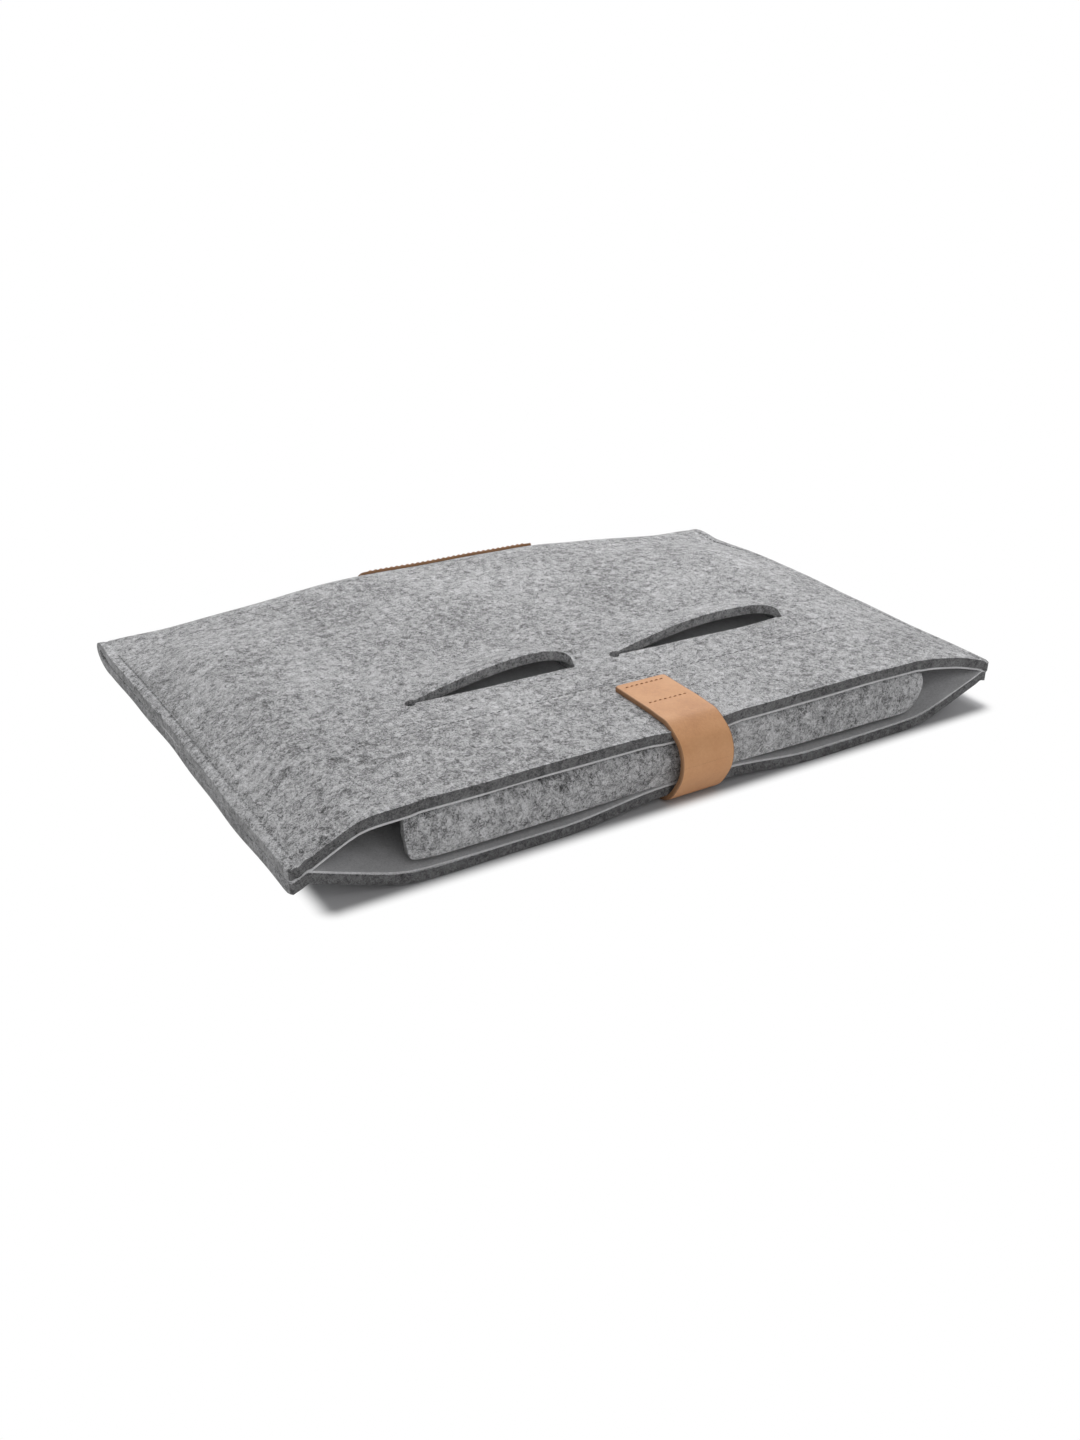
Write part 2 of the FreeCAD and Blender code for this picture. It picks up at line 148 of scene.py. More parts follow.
def flap_print(x, y):
    """The flap's sewn part shows through the top layer as a low plateau."""
    across = smooth((flap_seam_half + 2 - np.abs(x)) / 3.0)
    return 0.6 * across * smooth((flap_seam_y + 2 - y) / 3.0)


def edge_wander(x, y):
    """Sideways drift of the hand-cut side edges, nothing in the middle."""
    return (0.45 * np.sin(y / 23.0 + 1.0) + 0.22 * np.sin(y / 8.5)) * (np.abs(x) / half_width) ** 10


def mouth_wander(x, y, phase):
    """Drift of the mouth's edges along the depth: two sine waves, fading inwards."""
    near = 1 - smooth((y - mouth_y) / mouth_fade)
    return (0.35 * np.sin(x / 37.0 + phase) + 0.18 * np.sin(x / 10.0 + 2 * phase)) * near


corner_radius = 5.0


def round_corners(x, y):
    """Plan position with the mouth's two corners rounded: beyond the corner circle's centre,
    squares become circles, (dx, dy) * max(dx, dy) / length."""
    centre_x, centre_y = half_width - corner_radius, mouth_y + corner_radius
    dx = np.maximum(np.abs(x) - centre_x, 0.0)
    dy = np.maximum(centre_y - y, 0.0)
    scale = np.maximum(dx, dy) / np.maximum(np.hypot(dx, dy), 1e-9)
    both = (dx > 0) & (dy > 0)
    return (np.where(both, np.sign(x) * (centre_x + dx * scale), x),
            np.where(both, centre_y - dy * scale, y))


def stitch_groove(x, y):
    """Shallow furrows that the side seams and the flap's seam pull into the felt."""
    side = 0.7 * np.exp(-((np.abs(x) - side_seam_x) / 1.2) ** 2)
    along = smooth((flap_seam_half - np.abs(x)) / 3.0)
    flap = 0.45 * np.exp(-((y - flap_seam_y) / 0.9) ** 2) * along
    return side + flap


seam_low, seam_high = node_box("right_side_stitching")
side_seam_x = 0.5 * (seam_low[0] + seam_high[0])
flap_seam_y = anchor_high[1] - 2.5
flap_seam_half = anchor_high[0] - 4.0


def lens(x, side):
    """Rise along a slit from 0 at its ends to 1, highest nearer the right end."""
    low, high = slits[side]
    t = np.clip((x - low) / (high - low), 0.0, 1.0)
    a, b = {"left": (1.0, 0.32), "right": (0.95, 0.42)}[side]
    peak = a / (a + b)
    return t ** a * (1 - t) ** b / (peak ** a * (1 - peak) ** b)


hole_radius = 2.3             # of the round hole at each end of a slit
lip_forward, lip_back, lip_rise = 2.2, 4.6, 7.2    # how far a slit's lips part and lift


def hole(x, side):
    """Half width of the round hole punched at each end of a slit."""
    low, high = slits[side]
    nearest = np.minimum(np.abs(x - low - hole_radius), np.abs(x - high + hole_radius))
    return np.sqrt(np.maximum(hole_radius ** 2 - nearest ** 2, 0.0))


def lips(x):
    """Shifts of the front lip and the back lip from the slit's line, and the back lip's rise."""
    front = np.zeros_like(x)
    back = np.zeros_like(x)
    rise = np.zeros_like(x)
    for side in slits:
        inside = (x > slits[side][0]) & (x < slits[side][1])
        curve = lens(x, side) * inside
        round_end = hole(x, side) * inside
        front = front + np.maximum(lip_forward * curve, round_end)
        back = back + np.maximum(lip_back * curve, round_end)
        rise = rise + lip_rise * curve
    return front, back, rise


def strap_dent(x, y):
    """The strap presses the top layer down 1 mm at the mouth, fading sideways and inwards."""
    across = 1 - smooth((np.abs(x) - strap_half - 0.5) / 11.0)
    return 1.0 * across * (1 - smooth((y - mouth_y) / 17.0))


def strap_lift(x, y):
    """The tail lifts the bottom layer by 4.3 mm, fading over 52 mm sideways and 24 mm inwards."""
    across = 1 - smooth((np.abs(x) - strap_half) / 52.0)
    return 4.3 * across * (1 - smooth((y - tail_high[1]) / 24.0))


def top_face(x, y):
    """Outer face of the top layer: the level height, less a slope times the distance past the
    shoulder, in two steps on the right. The folded edge has one gentler slope. The face stays
    above the rim's surface and becomes it in the rim; dents and furrows are taken off."""
    left = 0.54 * ramp(-x - 147.5, 4.5)
    right = 0.19 * ramp(x - 131.0, 4.0) + 0.14 * ramp(x - 154.0, 4.0)
    filled = top_z - left - right
    folded = top_z - 0.13 * ramp(np.abs(x) - 60.0, 12.0)
    shape = mix(filled, folded, back_share(y)) + waves(x, y, 0.7) + flap_print(x, y) - 0.2
    rim = seam_surface(x, y) + felt + rim_gap
    face = mix(np.maximum(shape, rim), rim, rim_share(x))
    return face - strap_dent(x, y) - dimples(x, y) - stitch_groove(x, y)


def bottom_face(x, y):
    """Outer face of the bottom layer: 0 on the table, then a slope times the distance past the
    turn, never above the rim's surface. The strap's lift is added, and nothing goes below 0."""
    filled = 0.37 * ramp(np.abs(x) - 131.0, 8.0)
    folded = 0.27 * ramp(np.abs(x) - 134.0, 8.0)
    shape = mix(filled, folded, back_share(y))
    rim = seam_surface(x, y) - felt - rim_gap
    return np.maximum(mix(np.minimum(shape, rim), rim, rim_share(x)) + strap_lift(x, y), 0.0)


# ---- Making meshes ------------------------------------------------------------------------------

def stations(low, high, step, fine, places, reach):
    """Places from low to high, a step apart, closing up to the fine step near the given places.
    The spacing's inverse is added up along the line and cut into equal shares."""
    line = np.linspace(low, high, 4000)
    density = np.full_like(line, 1 / step)
    for place in places:
        near = np.exp(-((line - place) / reach) ** 2)
        density = np.maximum(density, 1 / step + (1 / fine - 1 / step) * near)
    total = np.concatenate([[0], np.cumsum((density[1:] + density[:-1]) / 2 * np.diff(line))])
    found = np.interp(np.linspace(0, total[-1], int(round(total[-1])) + 1), total, line)
    for place in places:
        if low < place < high:
            found[np.argmin(np.abs(found - place))] = place
    return np.unique(found)


def face_out(mesh):
    """Turn a closed mesh outwards if its volume is below 0. The volume is a third of the sum of
    area x (normal . centre)."""
    count = len(mesh.polygons)
    normals, centres, areas = np.empty(3 * count), np.empty(3 * count), np.empty(count)
    mesh.polygons.foreach_get("normal", normals)
    mesh.polygons.foreach_get("center", centres)
    mesh.polygons.foreach_get("area", areas)
    if (areas * (normals * centres).reshape(-1, 3).sum(1)).sum() < 0:
        mesh.flip_normals()


def new_mesh(name, points, faces, body=None, smooth_angle=40.0, caps=()):
    """A mesh object from points in millimetres, an array of quads and any many-sided end faces."""
    faces = np.asarray(faces, np.int64)
    used, index = np.unique(faces, return_inverse=True)
    mesh = bpy.data.meshes.new(name)
    ends = [np.searchsorted(used, cap).tolist() for cap in caps]
    mesh.from_pydata((np.asarray(points).reshape(-1, 3)[used] * MM).tolist(), [],
                     index.reshape(faces.shape).tolist() + ends)
    mesh.shade_smooth()
    mesh.set_sharp_from_angle(angle=math.radians(smooth_angle))
    face_out(mesh)
    piece = bpy.data.objects.new(name, mesh)
    bpy.context.scene.collection.objects.link(piece)
    if body:
        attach(piece, body)
    return piece


def quads(index, flip=False):
    """The quads of a grid of point numbers."""
    corners = [index[:-1, :-1], index[:-1, 1:], index[1:, 1:], index[1:, :-1]]
    cells = np.stack(corners, -1).reshape(-1, 4)
    return cells[:, ::-1] if flip else cells


def thick_mesh(name, outer, inner, faces, body, angle=50.0):
    """A closed shell from matching outer and inner points; its walls, along every edge that only
    one face uses, are given the second material."""
    outer = outer.reshape(-1, 3)
    inner = inner.reshape(-1, 3)
    count = len(outer)
    edges = np.concatenate([faces[:, [k, (k + 1) % 4]] for k in range(4)])
    forward = edges[:, 0] * count + edges[:, 1]
    backward = edges[:, 1] * count + edges[:, 0]
    a, b = edges[~np.isin(forward, backward)].T
    walls = np.stack([b, a, a + count, b + count], -1)
    piece = new_mesh(name, np.concatenate([outer, inner]),
                     np.concatenate([faces, faces[:, ::-1] + count, walls]), body, angle)
    kinds = np.zeros(len(piece.data.polygons), np.int32)
    kinds[-len(walls):] = 1
    piece.data.polygons.foreach_set("material_index", kinds)
    return piece


def soften(piece, width, segments=2):
    """Round the sharp edges by a width in millimetres."""
    modifier = piece.modifiers.new("soft_edges", "BEVEL")
    modifier.width = width * MM
    modifier.segments = segments
    modifier.limit_method = "ANGLE"
    modifier.angle_limit = math.radians(50)


def paint(piece, *materials):
    """Give the piece its materials; faces already say which one they use."""
    for material in materials:
        piece.data.materials.append(material)


# ---- Materials ----------------------------------------------------------------------------------

class Finish:
    def __init__(self, name):
        self.material = bpy.data.materials.new(name)
        self.material.use_nodes = True
        self.tree = self.material.node_tree
        self.shader = self.tree.nodes["Principled BSDF"]
        self.place = self.node("ShaderNodeTexCoord").outputs["Object"]

    def node(self, kind, inputs=(), **settings):
        made = self.tree.nodes.new(kind)
        for key, value in settings.items():
            setattr(made, key, value)
        for key, value in dict(inputs).items():
            self.connect(made.inputs[key], value)
        return made

    def connect(self, socket, value):
        if isinstance(value, bpy.types.NodeSocket):
            self.tree.links.new(value, socket)
        else:
            socket.default_value = value

    def noise(self, scale, detail=3.0, roughness=0.6, distortion=0.0):
        inputs = {"Vector": self.place, "Scale": scale, "Detail": detail, "Roughness": roughness,
                  "Distortion": distortion}
        return self.node("ShaderNodeTexNoise", inputs).outputs[0]

    def math(self, operation, a, b=0.0):
        return self.node("ShaderNodeMath", {0: a, 1: b}, operation=operation).outputs[0]

    def weighted(self, *pairs):
        """Sum of each value times its weight."""
        total = 0.0
        for value, weight in pairs:
            total = self.math("ADD", self.math("MULTIPLY", value, weight), total)
        return total

    def colours(self, value, *stops):
        made = self.node("ShaderNodeValToRGB", {"Fac": value})
        elements = made.color_ramp.elements
        while len(elements) < len(stops):
            elements.new(0.5)
        for element, (position, colour) in zip(elements, stops):
            element.position = position
            element.color = (*colour, 1.0)
        return made.outputs[0]

    def finish(self, colour, height, bump, depth, roughness, sheen=0.0):
        inputs = {"Height": height, "Strength": bump, "Distance": depth * MM}
        relief = self.node("ShaderNodeBump", inputs)
        self.connect(self.shader.inputs["Base Color"], colour)
        self.connect(self.shader.inputs["Normal"], relief.outputs[0])
        self.connect(self.shader.inputs["Roughness"], roughness)
        self.connect(self.shader.inputs["Sheen Weight"], sheen)
        return self.material


def grey(level, blue=1.02):
    """A grey, by default a little blue."""
    return (level, level, level * blue)


def felt_finish(name, dark, light, cut=False):
    """Wool of mixed greys: tufts of 2 mm, crossed fibres of under 1 mm and a few dark hairs."""
    f = Finish(name)
    blotch = f.noise(230.0, 3.0, 0.6, 0.6)
    tuft = f.noise(640.0, 4.0, 0.72, 1.4)
    fibre = f.noise(1500.0, 3.0, 0.75, 3.2)
    cloud = f.noise(24.0, 2.0)
    inputs = {"Vector": f.place, "Scale": 260.0, "Distortion": 26.0, "Detail": 3.0,
              "Detail Scale": 3.0}
    hairs = f.node("ShaderNodeTexWave", inputs, bands_direction="DIAGONAL").outputs["Fac"]
    value = f.weighted((blotch, 0.20), (tuft, 0.42), (fibre, 0.26), (cloud, 0.08), (hairs, 0.04))
    step = (light - dark) / 4
    levels = (dark, dark + step, dark + 2 * step, dark + 3 * step, light)
    colour = f.colours(value, *zip((0.405, 0.465, 0.50, 0.54, 0.605), map(grey, levels)))
    height = f.weighted((tuft, 0.6), (fibre, 0.4))
    return f.finish(colour, height, 0.75 if cut else 0.6, 1.0 if cut else 0.8, 0.95, 0.08)


def leather_finish(name, tint=1.0):
    """Vegetable-tanned leather: cloudy tan, fine pores and a faint grain."""
    f = Finish(name)
    cloud = f.noise(38.0, 4.0)
    grain = f.noise(900.0, 4.0, 0.6, 0.5)
    pores = f.node("ShaderNodeTexVoronoi", {"Vector": f.place, "Scale": 1500.0}).outputs["Distance"]
    value = f.weighted((cloud, 0.7), (grain, 0.3))
    colour = f.colours(value, (0.30, (0.47 * tint, 0.215 * tint, 0.088 * tint)),
                       (0.50, (0.60 * tint, 0.300 * tint, 0.135 * tint)),
                       (0.70, (0.68 * tint, 0.365 * tint, 0.180 * tint)))
    height = f.weighted((pores, 0.5), (grain, 0.5))
    rough = f.weighted((grain, 0.25), (1.0, 0.52))
    return f.finish(colour, height, 0.28, 0.25, rough)


def fleece_finish(name, dark, light):
    """Short-napped cloth: soft specks under a millimetre across."""
    f = Finish(name)
    nap = f.noise(1100.0, 3.0, 0.65, 1.2)
    drift = f.noise(90.0, 2.0)
    value = f.weighted((nap, 0.7), (drift, 0.3))
    colour = f.colours(value, (0.35, grey(dark)), (0.65, grey(light)))
    return f.finish(colour, nap, 0.4, 0.4, 0.95, 0.2)


def thread_finish(name, dark, light):
    """Twisted yarn: slanting bands under a millimetre wide, broken up by noise."""
    f = Finish(name)
    twist = f.node("ShaderNodeTexWave", {"Vector": f.place, "Scale": 480.0, "Distortion": 1.5},
                   bands_direction="DIAGONAL").outputs["Fac"]
    lint = f.noise(2500.0, 2.0)
    value = f.weighted((twist, 0.7), (lint, 0.3))
    return f.finish(f.colours(value, (0.25, dark), (0.75, light)), value, 0.5, 0.2, 0.8)


felt_top = felt_finish("mottled_felt", 0.03, 0.70)
# Darker copy of the cut felt for the mouth's cut faces: the cut felt's own darker tone, deepened by
# painted shade
cut_felt_and_painted_shade = felt_finish("cut_felt", 0.022, 0.21, cut=True)
# Lighter copy of the cut felt, painted light: for the side walls, the slit walls and the flap's
# walls
cut_felt_painted_lit = felt_finish("cut_felt_painted_light", 0.05, 0.50, cut=True)
lining_cloth = fleece_finish("lining_cloth", 0.40, 0.60)
strap_leather = leather_finish("tan_leather", 0.93)
edge_leather = leather_finish("burnished_edge", 0.42)
strip_leather = leather_finish("brown_leather", 0.55)
grey_thread = thread_finish("grey_thread", grey(0.12), grey(0.34))
tan_thread = thread_finish("tan_thread", (0.20, 0.085, 0.03), (0.42, 0.20, 0.085))
hook_cloth = fleece_finish("hook_tape", 0.010, 0.030)
loop_cloth = fleece_finish("loop_tape", 0.012, 0.045)


# ---- Felt body ----------------------------------------------------------------------------------

def body_columns():
    """Places across the body, closer at the slits' ends and at the rims."""
    ends = [place for low, high in slits.values()
            for place in (low, low + hole_radius, low + 2 * hole_radius,
                          high - 2 * hole_radius, high - hole_radius, high)]
    sides = [sign * place for sign in (-1, 1) for place in (167.0, 171.0, half_width)]
    return stations(-half_width, half_width, 3.0, 0.5, ends + sides, 2.6)


def fold_points(x, angle, offset):
    """Points round the folded edge: an ellipse from the top face over the fold to the bottom face,
    grown by the offset. At the two ends the loop of felt stands a little open."""
    x = x + 0 * angle
    at_start = fold_start_y + 0 * x
    high = top_face(x, at_start) - seam_z + offset
    low = seam_z - bottom_face(x, at_start) + offset
    gape = 1.5 * smooth((np.abs(x) - 140.0) / 30.0) * np.sin(2 * angle)
    z = seam_z + np.cos(angle) * np.where(angle < math.pi / 2, high, low) + gape
    y = fold_start_y + (fold_y - fold_start_y + offset) * np.sin(angle) + 0 * x
    return np.stack([x + edge_wander(x, y), y, z], -1)


def tell_walls_apart(mesh):
    """The mouth's cut edges keep the second material, cut felt darkened by painted shade; the
    sides' and slits' get the third, a lighter copy of it that is painted light.
    """
    kinds = np.empty(len(mesh.polygons), np.int32)
    centres = np.empty(3 * len(kinds))
    mesh.polygons.foreach_get("material_index", kinds)
    mesh.polygons.foreach_get("center", centres)
    x, y = centres.reshape(-1, 3)[:, :2].T / MM
    at_mouth = (y < mouth_y + mouth_fade) & (np.abs(x) < half_width - 1.0)
    kinds[(kinds == 1) & ~at_mouth] = 2
    mesh.polygons.foreach_set("material_index", kinds)


def make_felt_body():
    """One cut piece: from the mouth over the top layer, round the fold and back under the sleeve.
    The two rows that meet at the slits share their points outside them and part inside them."""
    xs = body_columns()
    front_shift, back_shift, rise = lips(xs)
    front_places = [mouth_y, mouth_y + 5.0, flap_seam_y, slit_y]
    front_ys = stations(mouth_y, slit_y, 3.2, 0.6, front_places, 3.5)
    back_ys = stations(slit_y, fold_start_y, 4.0, 0.7, [slit_y], 5.0)
    x, y = np.meshgrid(xs, front_ys)
    y = y - front_shift * (1 - smooth((slit_y - y) / 22.0))
    z = top_face(x, y)
    plan_x, plan_y = round_corners(x, y)
    front = np.stack([plan_x + edge_wander(x, y), plan_y + mouth_wander(x, y, 0.4), z], -1)

    x, y = np.meshgrid(xs, back_ys)
    near = 1 - smooth((y - slit_y) / 34.0)
    lifted = rise * near * (1 - 0.25 * near * (1 - near))
    y = y + back_shift * (1 - smooth((y - slit_y) / 26.0))
    behind = np.stack([x + edge_wander(x, y), y, top_face(x, y) + lifted], -1)

    angle = np.radians(np.linspace(0, 180, 37))[1:-1, None]
    fold = fold_points(xs, angle, 0.0)
    fold_inside = fold_points(xs, angle, -felt)

    under_ys = stations(mouth_y, fold_start_y, 5.0, 1.0, [mouth_y], 4.0)[::-1]
    x, y = np.meshgrid(xs, under_ys)
    plan_x, plan_y = round_corners(x, y)
    under = np.stack([plan_x + edge_wander(x, y), plan_y + mouth_wander(x, y, 1.9),
                      bottom_face(x, y)], -1)

    down = np.array([0.0, 0.0, felt])
    rest = np.concatenate([behind, fold, under])
    rest_inside = np.concatenate([behind - down, fold_inside, under + down])
    columns = len(xs)
    front_index = np.arange(front.shape[0] * columns).reshape(-1, columns)
    rest_index = np.arange(rest.shape[0] * columns).reshape(-1, columns) + front_index.size
    joined = np.ones(columns, bool)
    for low_x, high_x in slits.values():
        joined &= ~((xs > low_x + 1e-6) & (xs < high_x - 1e-6))
    rest_index[0, joined] = front_index[-1, joined]
    outer = np.concatenate([front.reshape(-1, 3), rest.reshape(-1, 3)])
    inner = np.concatenate([(front - down).reshape(-1, 3), rest_inside.reshape(-1, 3)])
    faces = np.concatenate([quads(front_index), quads(rest_index)])
    body = thick_mesh("felt_body", outer, inner, faces, "sleeve")
    tell_walls_apart(body.data)
    soften(body, 0.5)
    # materials: mottled felt, cut felt darkened by painted shade, cut felt lightened by painted
    # light
    paint(body, felt_top, cut_felt_and_painted_shade, cut_felt_painted_lit)
    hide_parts("front_felt_panel", "back_felt_panel")


make_felt_body()


# ---- Linings ------------------------------------------------------------------------------------

lining_half = half_width - 0.6


def bag_dip(x, y):
    """How far the top lining hangs under the pocket bags: 6.4 mm times an S at their edge."""
    low = bag_boxes["left"][0][0] - 2.0
    high = bag_boxes["right"][1][0] + 2.0
    front = bag_boxes["left"][0][1] - 2.0
    back = bag_boxes["left"][1][1] + 2.0
    inside = np.minimum(np.minimum(x - low, high - x), np.minimum(y - front, back - y))
    return 6.4 * smooth((inside + 6.0) / 7.0)


def make_lining(name, node, height):
    """A thin sheet from just outside the mouth to the inside of the fold. In the rim it thins to
    half the room between the felts."""
    xs = stations(-lining_half, lining_half, 4.0, 0.8, [-rim_middle, rim_middle], 5.0)
    ys = stations(mouth_y - 0.35, fold_start_y + 16.0, 4.0, 1.0, [mouth_y], 4.0)
    x, y = np.meshgrid(xs, ys)
    room = top_face(x, y) - bottom_face(x, y) - 2 * felt
    thick = np.clip((room - 0.14) / 2, 0.3, lining)
    plan_x, plan_y = round_corners(x, y)
    upper = np.stack([plan_x, plan_y, height(x, y, thick)], -1)
    lower = np.stack([plan_x, plan_y, height(x, y, thick) - thick], -1)
    index = np.arange(x.size).reshape(x.shape)
    sheet = thick_mesh(name, upper, lower, quads(index), "sleeve")
    paint(sheet, lining_cloth, lining_cloth)
    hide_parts(node)


def fold_drop(y):
    """Share of the way from a layer to the fold's middle, past the start of the fold."""
    return 1 - np.sqrt(np.clip(1 - (np.clip(y - fold_start_y, 0, None) / 20.5) ** 2, 0, 1))


def top_lining_height(x, y, thick):
    """Upper face, just under the top felt; its own thickness makes no difference to it."""
    under = top_face(x, y) - felt - touch_gap - bag_dip(x, y)
    return mix(under, seam_z, fold_drop(y))


def bottom_lining_height(x, y, thick):
    """Upper face, its own thickness above the bottom felt."""
    over = bottom_face(x, y) + felt + thick + touch_gap
    return mix(over, seam_z, fold_drop(y))


make_lining("top_lining", "front_lining", top_lining_height)
make_lining("bottom_lining", "back_lining", bottom_lining_height)


# ---- Pocket bags --------------------------------------------------------------------------------

def bag_height(x, y, side):
    """The bag's upper face: a level rim under the felt, and a tray between."""
    low, high = bag_boxes[side]
    inside = np.minimum(np.minimum(x - low[0], high[0] - x), np.minimum(y - low[1], high[1] - y))
    depth = (high[2] - low[2] - bag_cloth) * smooth((inside - 5.0) / 6.0)
    return top_face(x, y) - felt - touch_gap - depth


def make_pocket_bag(side):
    """A shallow tray of thin cloth hanging under a slit."""
    low, high = bag_boxes[side]
    xs = stations(low[0], high[0], 3.5, 1.0, [low[0] + 8.0, high[0] - 8.0], 6.0)
    ys = stations(low[1], high[1], 3.5, 1.0, [low[1] + 8.0, high[1] - 8.0], 6.0)
    x, y = np.meshgrid(xs, ys)
    points = np.stack([x, y, bag_height(x, y, side)], -1)
    index = np.arange(x.size).reshape(x.shape)
    below = points - np.array([0.0, 0.0, bag_cloth])
    bag = thick_mesh(side + "_pocket", points, below, quads(index), "sleeve")
    paint(bag, lining_cloth, lining_cloth)
    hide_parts(side + "_pocket_bag")


for side in bag_boxes:
    make_pocket_bag(side)


# ---- Paths and bands ----------------------------------------------------------------------------

def curve_through(points, count):
    """Even steps along a smooth line through the points: a Catmull-Rom curve, resampled by its
    length. Also gives the length run at each step."""
    p = np.asarray(points, float)
    p = np.concatenate([2 * p[:1] - p[1:2], p, 2 * p[-1:] - p[-2:-1]])
    t = np.linspace(0, 1, 24, endpoint=False)[:, None, None]
    a, b, c, d = p[:-3], p[1:-2], p[2:-1], p[3:]
    line = 0.5 * (2 * b + (c - a) * t + (2 * a - 5 * b + 4 * c - d) * t ** 2
                  + (3 * b - a - 3 * c + d) * t ** 3)
    line = np.concatenate([line.transpose(1, 0, 2).reshape(-1, 2), p[-2:-1]])
    run = np.concatenate([[0], np.cumsum(np.linalg.norm(np.diff(line, axis=0), axis=1))])
    even = np.linspace(0, run[-1], count)
    return np.stack([np.interp(even, run, line[:, k]) for k in (0, 1)], -1), even


def side_of(line):
    """Unit normals of a line in the YZ plane, to the left of its direction."""
    along = np.gradient(line, axis=0)
    along = along / np.linalg.norm(along, axis=1)[:, None]
    return np.stack([-along[:, 1], along[:, 0]], -1)


# ---- Tuck flap ----------------------------------------------------------------------------------

flap_half = anchor_high[0]
flap_corners = {-1: 5.0, 1: 9.0}    # radius of the left and of the right lower corner
flap_half_thick = 1.5


def make_tuck_flap():
    """Felt sewn under the top lining, bending over the mouth and hanging in front of it. The line
    is followed in the YZ plane and carried across; each lower corner is a quarter circle."""
    under = top_z - felt - lining - 0.45 - flap_half_thick
    line, run = curve_through([(anchor_high[1], under), (-95.0, under), (-110.0, under),
                               (-114.9, under - 0.8), (-117.0, under - 3.4), (-117.7, under - 7.4),
                               (-117.6, under - 12.2), (-117.0, lip_low[2] - 1.1)], 110)
    normal = side_of(line)
    columns = stations(-1.0, 1.0, 0.02, 0.004, [-1.0, 1.0], 0.05)
    left = run[-1] - run
    hang = smooth((run - 44.0) / 12.0)[:, None]
    x = columns[None, :] * flap_half
    for side, radius in flap_corners.items():
        cut = radius - np.sqrt(radius ** 2 - np.clip(radius - left, 0, None) ** 2)
        x = np.where(columns * side > 0, columns * (flap_half - cut)[:, None], x)
    x = x + 0.7 * np.sin(line[:, 1:] / 2.9) * hang * columns ** 9
    settle = top_face(x, np.maximum(line[:, :1], mouth_y)) - top_z
    at_ends = smooth((np.abs(x) - flap_half + 14) / 14)
    bow = 0.5 * np.sin(x / 41.0 + 0.6) * hang + 1.6 * at_ends * hang

    def face(offset):
        """One face of the flap, this far from its middle."""
        y = line[:, :1] + offset * normal[:, :1] + bow
        over_lift = 0.9 * np.exp(-(x / 45.0) ** 2) * hang
        z = line[:, 1:] + offset * normal[:, 1:] + settle * (1 - 0.6 * hang) + over_lift
        return np.stack([x, y + 0 * x, z], -1)

    index = np.arange(x.size).reshape(x.shape)
    flap = thick_mesh("tuck_flap", face(-flap_half_thick), face(flap_half_thick),
                      quads(index, True), None)
    soften(flap, 0.6, 3)
    # the flap's walls take the lighter copy of the cut felt, which is painted light
    paint(flap, felt_top, cut_felt_painted_lit)
    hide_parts("tuck_flap_anchor", "tuck_flap_lip")
    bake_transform(flap)


make_tuck_flap()


# ---- Leather strap ------------------------------------------------------------------------------

strap_clear = 0.15            # between the strap and the felt under it
strap_split_z = 21.0          # height at which the strap's two lengths meet
tail_corner = 6.0
head_corner = 1.2


def strap_line():
    """Middle line of the strap: on the felt, round the front and under the sleeve."""
    on_top = [(y, float(top_face(np.array(0.0), np.array(y))) + leather / 2 + strap_clear)
              for y in (strap_end_y, -86.0, -94.0, -102.0, -109.0, -114.5)]
    round_front = [(-119.6, 32.9), (-123.9, 29.7), (-126.4, 25.2), (-127.1, 20.4), (-126.2, 15.2),
                   (-123.6, 9.9), (-120.6, 5.4), (-117.0, 2.5), (-112.0, 1.5)]
    below = [(-102.0, 1.42), (-90.0, 1.4), (-78.0, 1.4), (tail_high[1], 1.4)]
    return curve_through(on_top + round_front + below, 260)


def band_section(half):
    """Round-cornered section of the band, for half widths along it: across, height, and which part
    of the outline is a cut edge."""
    radius = 0.55
    corner = np.radians(np.linspace(0, 90, 5))
    inner_x = half[:, None] - radius
    inner_z = leather / 2 - radius
    flat = np.linspace(1, -1, 13)[1:-1]
    parts = []
    turn = [(1, 1, corner), (-1, 1, corner[::-1]), (-1, -1, corner), (1, -1, corner[::-1])]
    for sign_x, sign_z, angles in turn:
        parts.append((sign_x * (inner_x + radius * np.cos(angles)),
                      sign_z * (inner_z + radius * np.sin(angles)) + 0 * inner_x, np.ones(5)))
        if sign_x == sign_z:
            parts.append((sign_x * inner_x * flat, sign_z * leather / 2 + 0 * inner_x * flat,
                          np.zeros(11)))
    across = np.concatenate([p[0] + 0 * half[:, None] for p in parts], 1)
    height = np.concatenate([p[1] + 0 * across[:, :1] for p in parts], 1)
    return across, height, np.concatenate([p[2] for p in parts]) > 0


def make_band(name, line, half):
    """The section carried along the line, closed at both ends."""
    normal = side_of(line)
    across, height, edge = band_section(half)
    y = line[:, :1] + height * -normal[:, :1]
    z = line[:, 1:] + height * -normal[:, 1:]
    points = np.stack([across, y, z], -1)
    index = np.arange(across.size).reshape(across.shape)
    ring = np.concatenate([index, index[:, :1]], 1)
    piece = new_mesh(name, points, quads(ring, True), None, 40.0,
                     caps=[index[0].tolist(), index[-1][::-1].tolist()])
    kinds = np.tile(edge & np.roll(edge, -1), len(line) - 1).astype(np.int32)
    kinds = np.concatenate([kinds, [1, 1]]).astype(np.int32)
    piece.data.polygons.foreach_set("material_index", kinds)
    paint(piece, strap_leather, edge_leather)
    return piece


